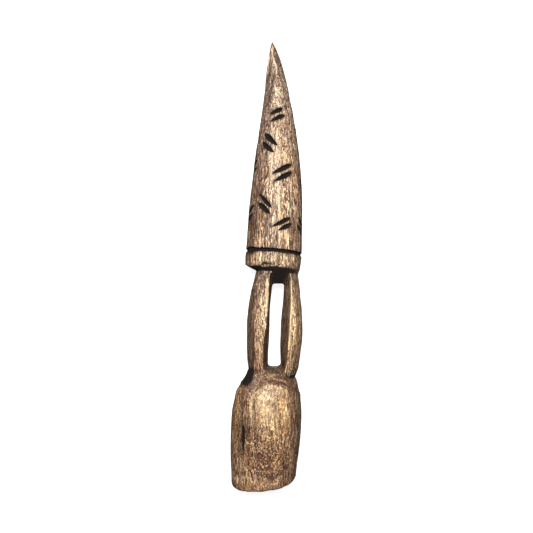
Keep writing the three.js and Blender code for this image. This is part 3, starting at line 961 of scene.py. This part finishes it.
bands = figure(7.5, 120, shift=3, detail=3.0, roughness=0.6)
fibres = figure(0.75, 22, shift=1, detail=4.0, roughness=0.65)
streaks = figure(1.0, 15, shift=2, detail=3.0, roughness=0.6)
flecks = figure(0.5, 4.5, shift=6, roughness=0.6)
blotches = figure(6, 14, shift=9, detail=3.0, roughness=0.6)
curls = figure(1.4, 1.9, shift=15, detail=1.5, distortion=1.8)
pores = calculate(
    "MAXIMUM", pore_layer(0.95, 6.0, shift=4, size=0.38), pore_layer(1.7, 11.0, shift=8, size=0.26))
dark_lines = calculate("MAXIMUM", thin_lines(figure(1.9, 42, shift=16), 0.045),
                       thin_lines(figure(1.2, 26, shift=17, detail=1.0), 0.03))
pale_lines = thin_lines(figure(1.7, 38, shift=18), 0.05)
uneven = calculate("MULTIPLY_ADD", figure(2.2, 8, shift=12, detail=3.0), 1.6, 0.2)
swirl = kept_to_one(attribute("swirl"))
straight = the_rest(kept_to_one(calculate("ADD", swirl, times(attribute("flank"), 0.3))))


def patch(name):
    """A patch of handling, stain, painted highlight or painted shade, broken up along the grain."""
    return kept_to_one(times(attribute(name), uneven))


def screen_light(level):
    """A level on a screen, 0 to 255, as an amount of light."""
    share = level / 255
    return share / 12.92 if level < 10 else ((share + 0.055) / 1.055) ** 2.4


def rgb(*levels):
    """A colour as seen on a screen, as the shader wants it."""
    return tuple(screen_light(level) for level in levels) + (1,)


HEARTWOOD = rgb(142, 108, 88)
SAPWOOD = rgb(194, 158, 120)
BLOTCH = rgb(122, 90, 70)
RUBBED_PALE_AND_HIGHLIGHT = rgb(226, 202, 164)
GOLDEN = rgb(204, 162, 104)
OLD_SKIN_AND_SHADE = rgb(118, 86, 70)
STAIN_AND_SHADE = rgb(88, 60, 46)
END_GRAIN = rgb(104, 74, 58)
RIDGE_BROWN = rgb(106, 68, 56)
DIRT = rgb(44, 30, 24)
RING_BROWN = rgb(98, 68, 51)
FIBRE_BROWN = rgb(90, 62, 46)
SHEEN = rgb(240, 222, 194)
LINE_BROWN = rgb(66, 42, 28)
CURL_BROWN = rgb(58, 36, 24)
PORE_BROWN = rgb(46, 31, 25)
POLISHED_AND_HIGHLIGHT = rgb(212, 192, 166)
SAWN_DARK = rgb(112, 84, 64)
SAWN_PALE = rgb(160, 128, 98)
BLACK_SHADOW_AND_DIRT = rgb(34, 25, 20)
STROKE_PALE_AND_HIGHLIGHT = rgb(220, 196, 160)
STROKE_DARK = rgb(72, 48, 38)
UNDERSIDE_SHADE_BLACK = rgb(20, 14, 12)
SOOT_BROWN = rgb(48, 34, 28)
INNER_WALL_SHADE = rgb(44, 28, 21)
CHAR_BLACK = rgb(10, 7, 5)
CHAR_BROWN = rgb(36, 24, 18)

# Broad tones first: heartwood and sapwood bands, handled and stained parts with
# painted highlights and shade among them, and the dirt in the hollows. Each
# layer says how much of it shows, and its colour.
hollow = times(spread_out(attribute("form"), -0.45, -0.08, 0.8, 0.0), uneven)
colour = painted(blend(spread_out(bands, 0.38, 0.62), HEARTWOOD, SAPWOOD), [
    (spread_out(blotches, 0.35, 0.60, 0.4, 0.0), BLOTCH),
    # The pale tone: rubbed wear, and painted highlights where the light falls on the cone, the bars
    # and the top of the foot.
    (patch("pale"), RUBBED_PALE_AND_HIGHLIGHT),
    (patch("gold"), GOLDEN),
    # The dark sides: partly old skin, partly painted shade.
    (times(patch("flank"), 0.75), OLD_SKIN_AND_SHADE),
    # The dark tone: stain, and painted shade on the turned-away sides, the bell's edges and under the
    # collar.
    (times(patch("dark"), 0.85), STAIN_AND_SHADE),
    (times(attribute("end_grain"), 0.5), END_GRAIN),
    (times(attribute("band"), 0.8), RIDGE_BROWN),
    (times(hollow, the_rest(attribute("worn"))), DIRT),
])

# Then the grain over them, dark and bright lines of it.
ring_share = times(
    spread_out(rings, 0.42, 0.54, 1.0, 0.0), calculate("MULTIPLY_ADD", swirl, 0.35, 0.4))
colour = painted(colour, [
    (ring_share, RING_BROWN),
    (spread_out(fibres, 0.38, 0.58, 0.6, 0.0), FIBRE_BROWN),
])
glow = blend(0.52, colour, SHEEN)
sawn = blend(spread_out(rings, 0.40, 0.60), SAWN_DARK, SAWN_PALE)
colour = painted(colour, [
    (times(spread_out(streaks, 0.50, 0.66, 0.0, 0.9), straight), glow),
    (times(pale_lines, times(straight, 0.9)), glow),
    (times(dark_lines, times(straight, 0.8)), LINE_BROWN),
    (spread_out(flecks, 0.34, 0.48, 0.4, 0.0), LINE_BROWN),
    (times(thin_lines(curls, 0.07), calculate("MULTIPLY_ADD", swirl, 0.8, 0.1)), CURL_BROWN),
    (times(spread_out(curls, 0.53, 0.62), times(swirl, 0.68)), glow),
    (times(pores, 0.75), PORE_BROWN),
    # Polished parts: painted lighter as a highlight, over the real polish that the roughness gives.
    (times(attribute("polish"), 0.4), POLISHED_AND_HIGHLIGHT),
    (times(attribute("butt"), 0.75), sawn),
    # The black tone: painted shadow, partly dirt, under the collar's edge and in the notches of the
    # neck and shoulder.
    (patch("black"), BLACK_SHADOW_AND_DIRT),
])
fine = spread_out(figure(0.85, 1.15, shift=20, roughness=0.6), 0.3, 0.7, 0.55, 1.45)
colour = painted(colour, [
    (the_rest(times(attribute("polish"), 0.45)), blend(1.0, colour, fine, "MULTIPLY")),
    # Pale strokes: rubbed edges, and painted highlights along ridges and edges.
    (patch("line_pale"), STROKE_PALE_AND_HIGHLIGHT),
    (patch("line_dark"), STROKE_DARK),
])

# Last the patina as a whole, and then the dark parts: painted shade, partly
# dark wood, under the collar; painted shade on the slot's inner walls; soot at
# the edges of the cuts; and the burnt cuts and the crack, black inside. The
# slot's inner walls are darkest along its sides, and lighter at its two ends.
CONTRAST = 1.24
GAIN = 1.32
patina = node("HueSaturation", "Color", {"Color": colour, "Saturation": attribute("richness")})
deeper = node("Gamma", "Color", {"Color": patina, "Gamma": CONTRAST})
wall_shade_share = calculate("MULTIPLY_ADD", attribute("end_grain"), -0.38, 0.6)
char = blend(spread_out(flecks, 0.46, 0.66), CHAR_BLACK, CHAR_BROWN)
colour = painted(blend(1.0, deeper, (GAIN, GAIN, GAIN, 1), "MULTIPLY"), [
    # Painted shade, partly dark wood, under the collar.
    (times(attribute("underside"), 0.96), UNDERSIDE_SHADE_BLACK),
    (times(attribute("soot"), 0.55), SOOT_BROWN),
    # Painted shade on the slot's inner walls.
    (times(attribute("pierced"), wall_shade_share), INNER_WALL_SHADE),
    (attribute("scorched"), char),
])
plug(surface.inputs["Base Color"], colour)

# Polished wood has a soft shine. Burnt wood has none, nor have the parts painted black as shade.
WOOD_ROUGHNESS = 0.5
POLISHED_ROUGHNESS = 0.36
WHOLE_POLISH = 0.8
SPECULAR_LEVEL = 0.27
dull = calculate("MAXIMUM", attribute("underside"), patch("black"))
burnt_and_shaded = calculate("MAXIMUM", attribute("scorched"), dull)
shine = spread_out(attribute("polish"), 0.0, WHOLE_POLISH, WOOD_ROUGHNESS, POLISHED_ROUGHNESS)
plug(surface.inputs["Roughness"], calculate("MAXIMUM", shine, burnt_and_shaded))
plug(surface.inputs["Specular IOR Level"], SPECULAR_LEVEL)

# The fibres stand up a little, and the pores are sunk.
RELIEF_HEIGHT = 0.45 * MM
RELIEF_STRENGTH = 0.9
FIBRE_RISE = 0.6
PORE_DROP = 0.5
relief = calculate("SUBTRACT", times(fibres, FIBRE_RISE), times(pores, PORE_DROP))
bump = node("Bump", "Normal", {
    "Height": relief, "Distance": RELIEF_HEIGHT, "Strength": RELIEF_STRENGTH})
plug(surface.inputs["Normal"], bump)

SHARP_EDGE = math.radians(32)
mesh.materials.clear()
mesh.materials.append(wood)
mesh.polygons.foreach_set("material_index", np.zeros(len(mesh.polygons), int))
bpy.ops.object.select_all(action="DESELECT")
tapper.select_set(True)
bpy.context.view_layer.objects.active = tapper
bpy.ops.object.shade_smooth_by_angle(angle=SHARP_EDGE)
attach(tapper, "root")
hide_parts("tapper")


# The setting. The tapper lies on a pale sheet, with a pale sphere all round as a
# backdrop. Both glow a little, so that they look nearly white from every side.
SHEET_SIZE = 4.0
BACKDROP_RADIUS = 1.9
BACKDROP_SIDES = 64
SHEET_GREY = 0.45
SHEET_GLOW = 0.88
SHEET_ROUGHNESS = 0.9

white = bpy.data.materials.new("white")
white.use_nodes = True
paper = white.node_tree.nodes["Principled BSDF"].inputs
paper["Base Color"].default_value = (SHEET_GREY, SHEET_GREY, SHEET_GREY, 1)
paper["Roughness"].default_value = SHEET_ROUGHNESS
paper["Emission Color"].default_value = (1, 1, 1, 1)
paper["Emission Strength"].default_value = SHEET_GLOW

bpy.ops.object.select_all(action="DESELECT")
bpy.ops.mesh.primitive_plane_add(size=SHEET_SIZE)
floor_sheet = bpy.context.object
floor_sheet.name = "white_sheet"
floor_sheet.data.materials.append(white)

bpy.ops.object.select_all(action="DESELECT")
bpy.ops.mesh.primitive_uv_sphere_add(
    segments=BACKDROP_SIDES, ring_count=BACKDROP_SIDES // 2, radius=BACKDROP_RADIUS)
backdrop = bpy.context.object
backdrop.name = "white_backdrop"
bpy.ops.object.shade_smooth()
backdrop.data.materials.append(white)
backdrop.visible_shadow = False
for sheet in (floor_sheet, backdrop):
    sheet.visible_diffuse = False
    sheet.visible_glossy = False

# The light: a broad warm window above, toward the point, a weak fill from the
# foot's side, and a faint cool room all round.
WINDOW_TINT = (1.0, 0.97, 0.92)
ROOM_TINT = (0.9, 0.93, 1.0, 1)
ROOM_STRENGTH = 0.09


def area_light(name, spot, target, size, power, tint=(1, 1, 1)):
    bpy.ops.object.light_add(type="AREA", location=spot)
    lamp = bpy.context.object
    lamp.name = name
    lamp.data.size = size
    lamp.data.energy = power
    lamp.data.color = tint
    lamp.rotation_euler = (Vector(target) - Vector(spot)).to_track_quat("-Z", "Y").to_euler()


area_light("window", (-0.01, 0.20, 0.62), (0, 0, 0.02), size=0.22, power=8.4, tint=WINDOW_TINT)
area_light("fill", (0.05, -0.80, 0.16), (0, -0.15, 0.02), size=0.35, power=1.6)
world = bpy.data.worlds.new("room")
world.use_nodes = True
room = world.node_tree.nodes["Background"].inputs
room["Color"].default_value = ROOM_TINT
room["Strength"].default_value = ROOM_STRENGTH
bpy.context.scene.world = world
bpy.context.scene.view_settings.view_transform = "Standard"

# The camera looks straight down on the front, from nearly half a metre above.
CAMERA_SPOT = (-0.00007, -0.00252, 0.480)
CAMERA_LENS = 46.53
SENSOR_WIDTH = 36.0
NEAREST_SEEN = 0.01
bpy.ops.object.camera_add(location=CAMERA_SPOT, rotation=(0, 0, 0))
camera = bpy.context.object
camera.data.lens = CAMERA_LENS
camera.data.sensor_width = SENSOR_WIDTH
camera.data.clip_start = NEAREST_SEEN
bpy.context.scene.camera = camera
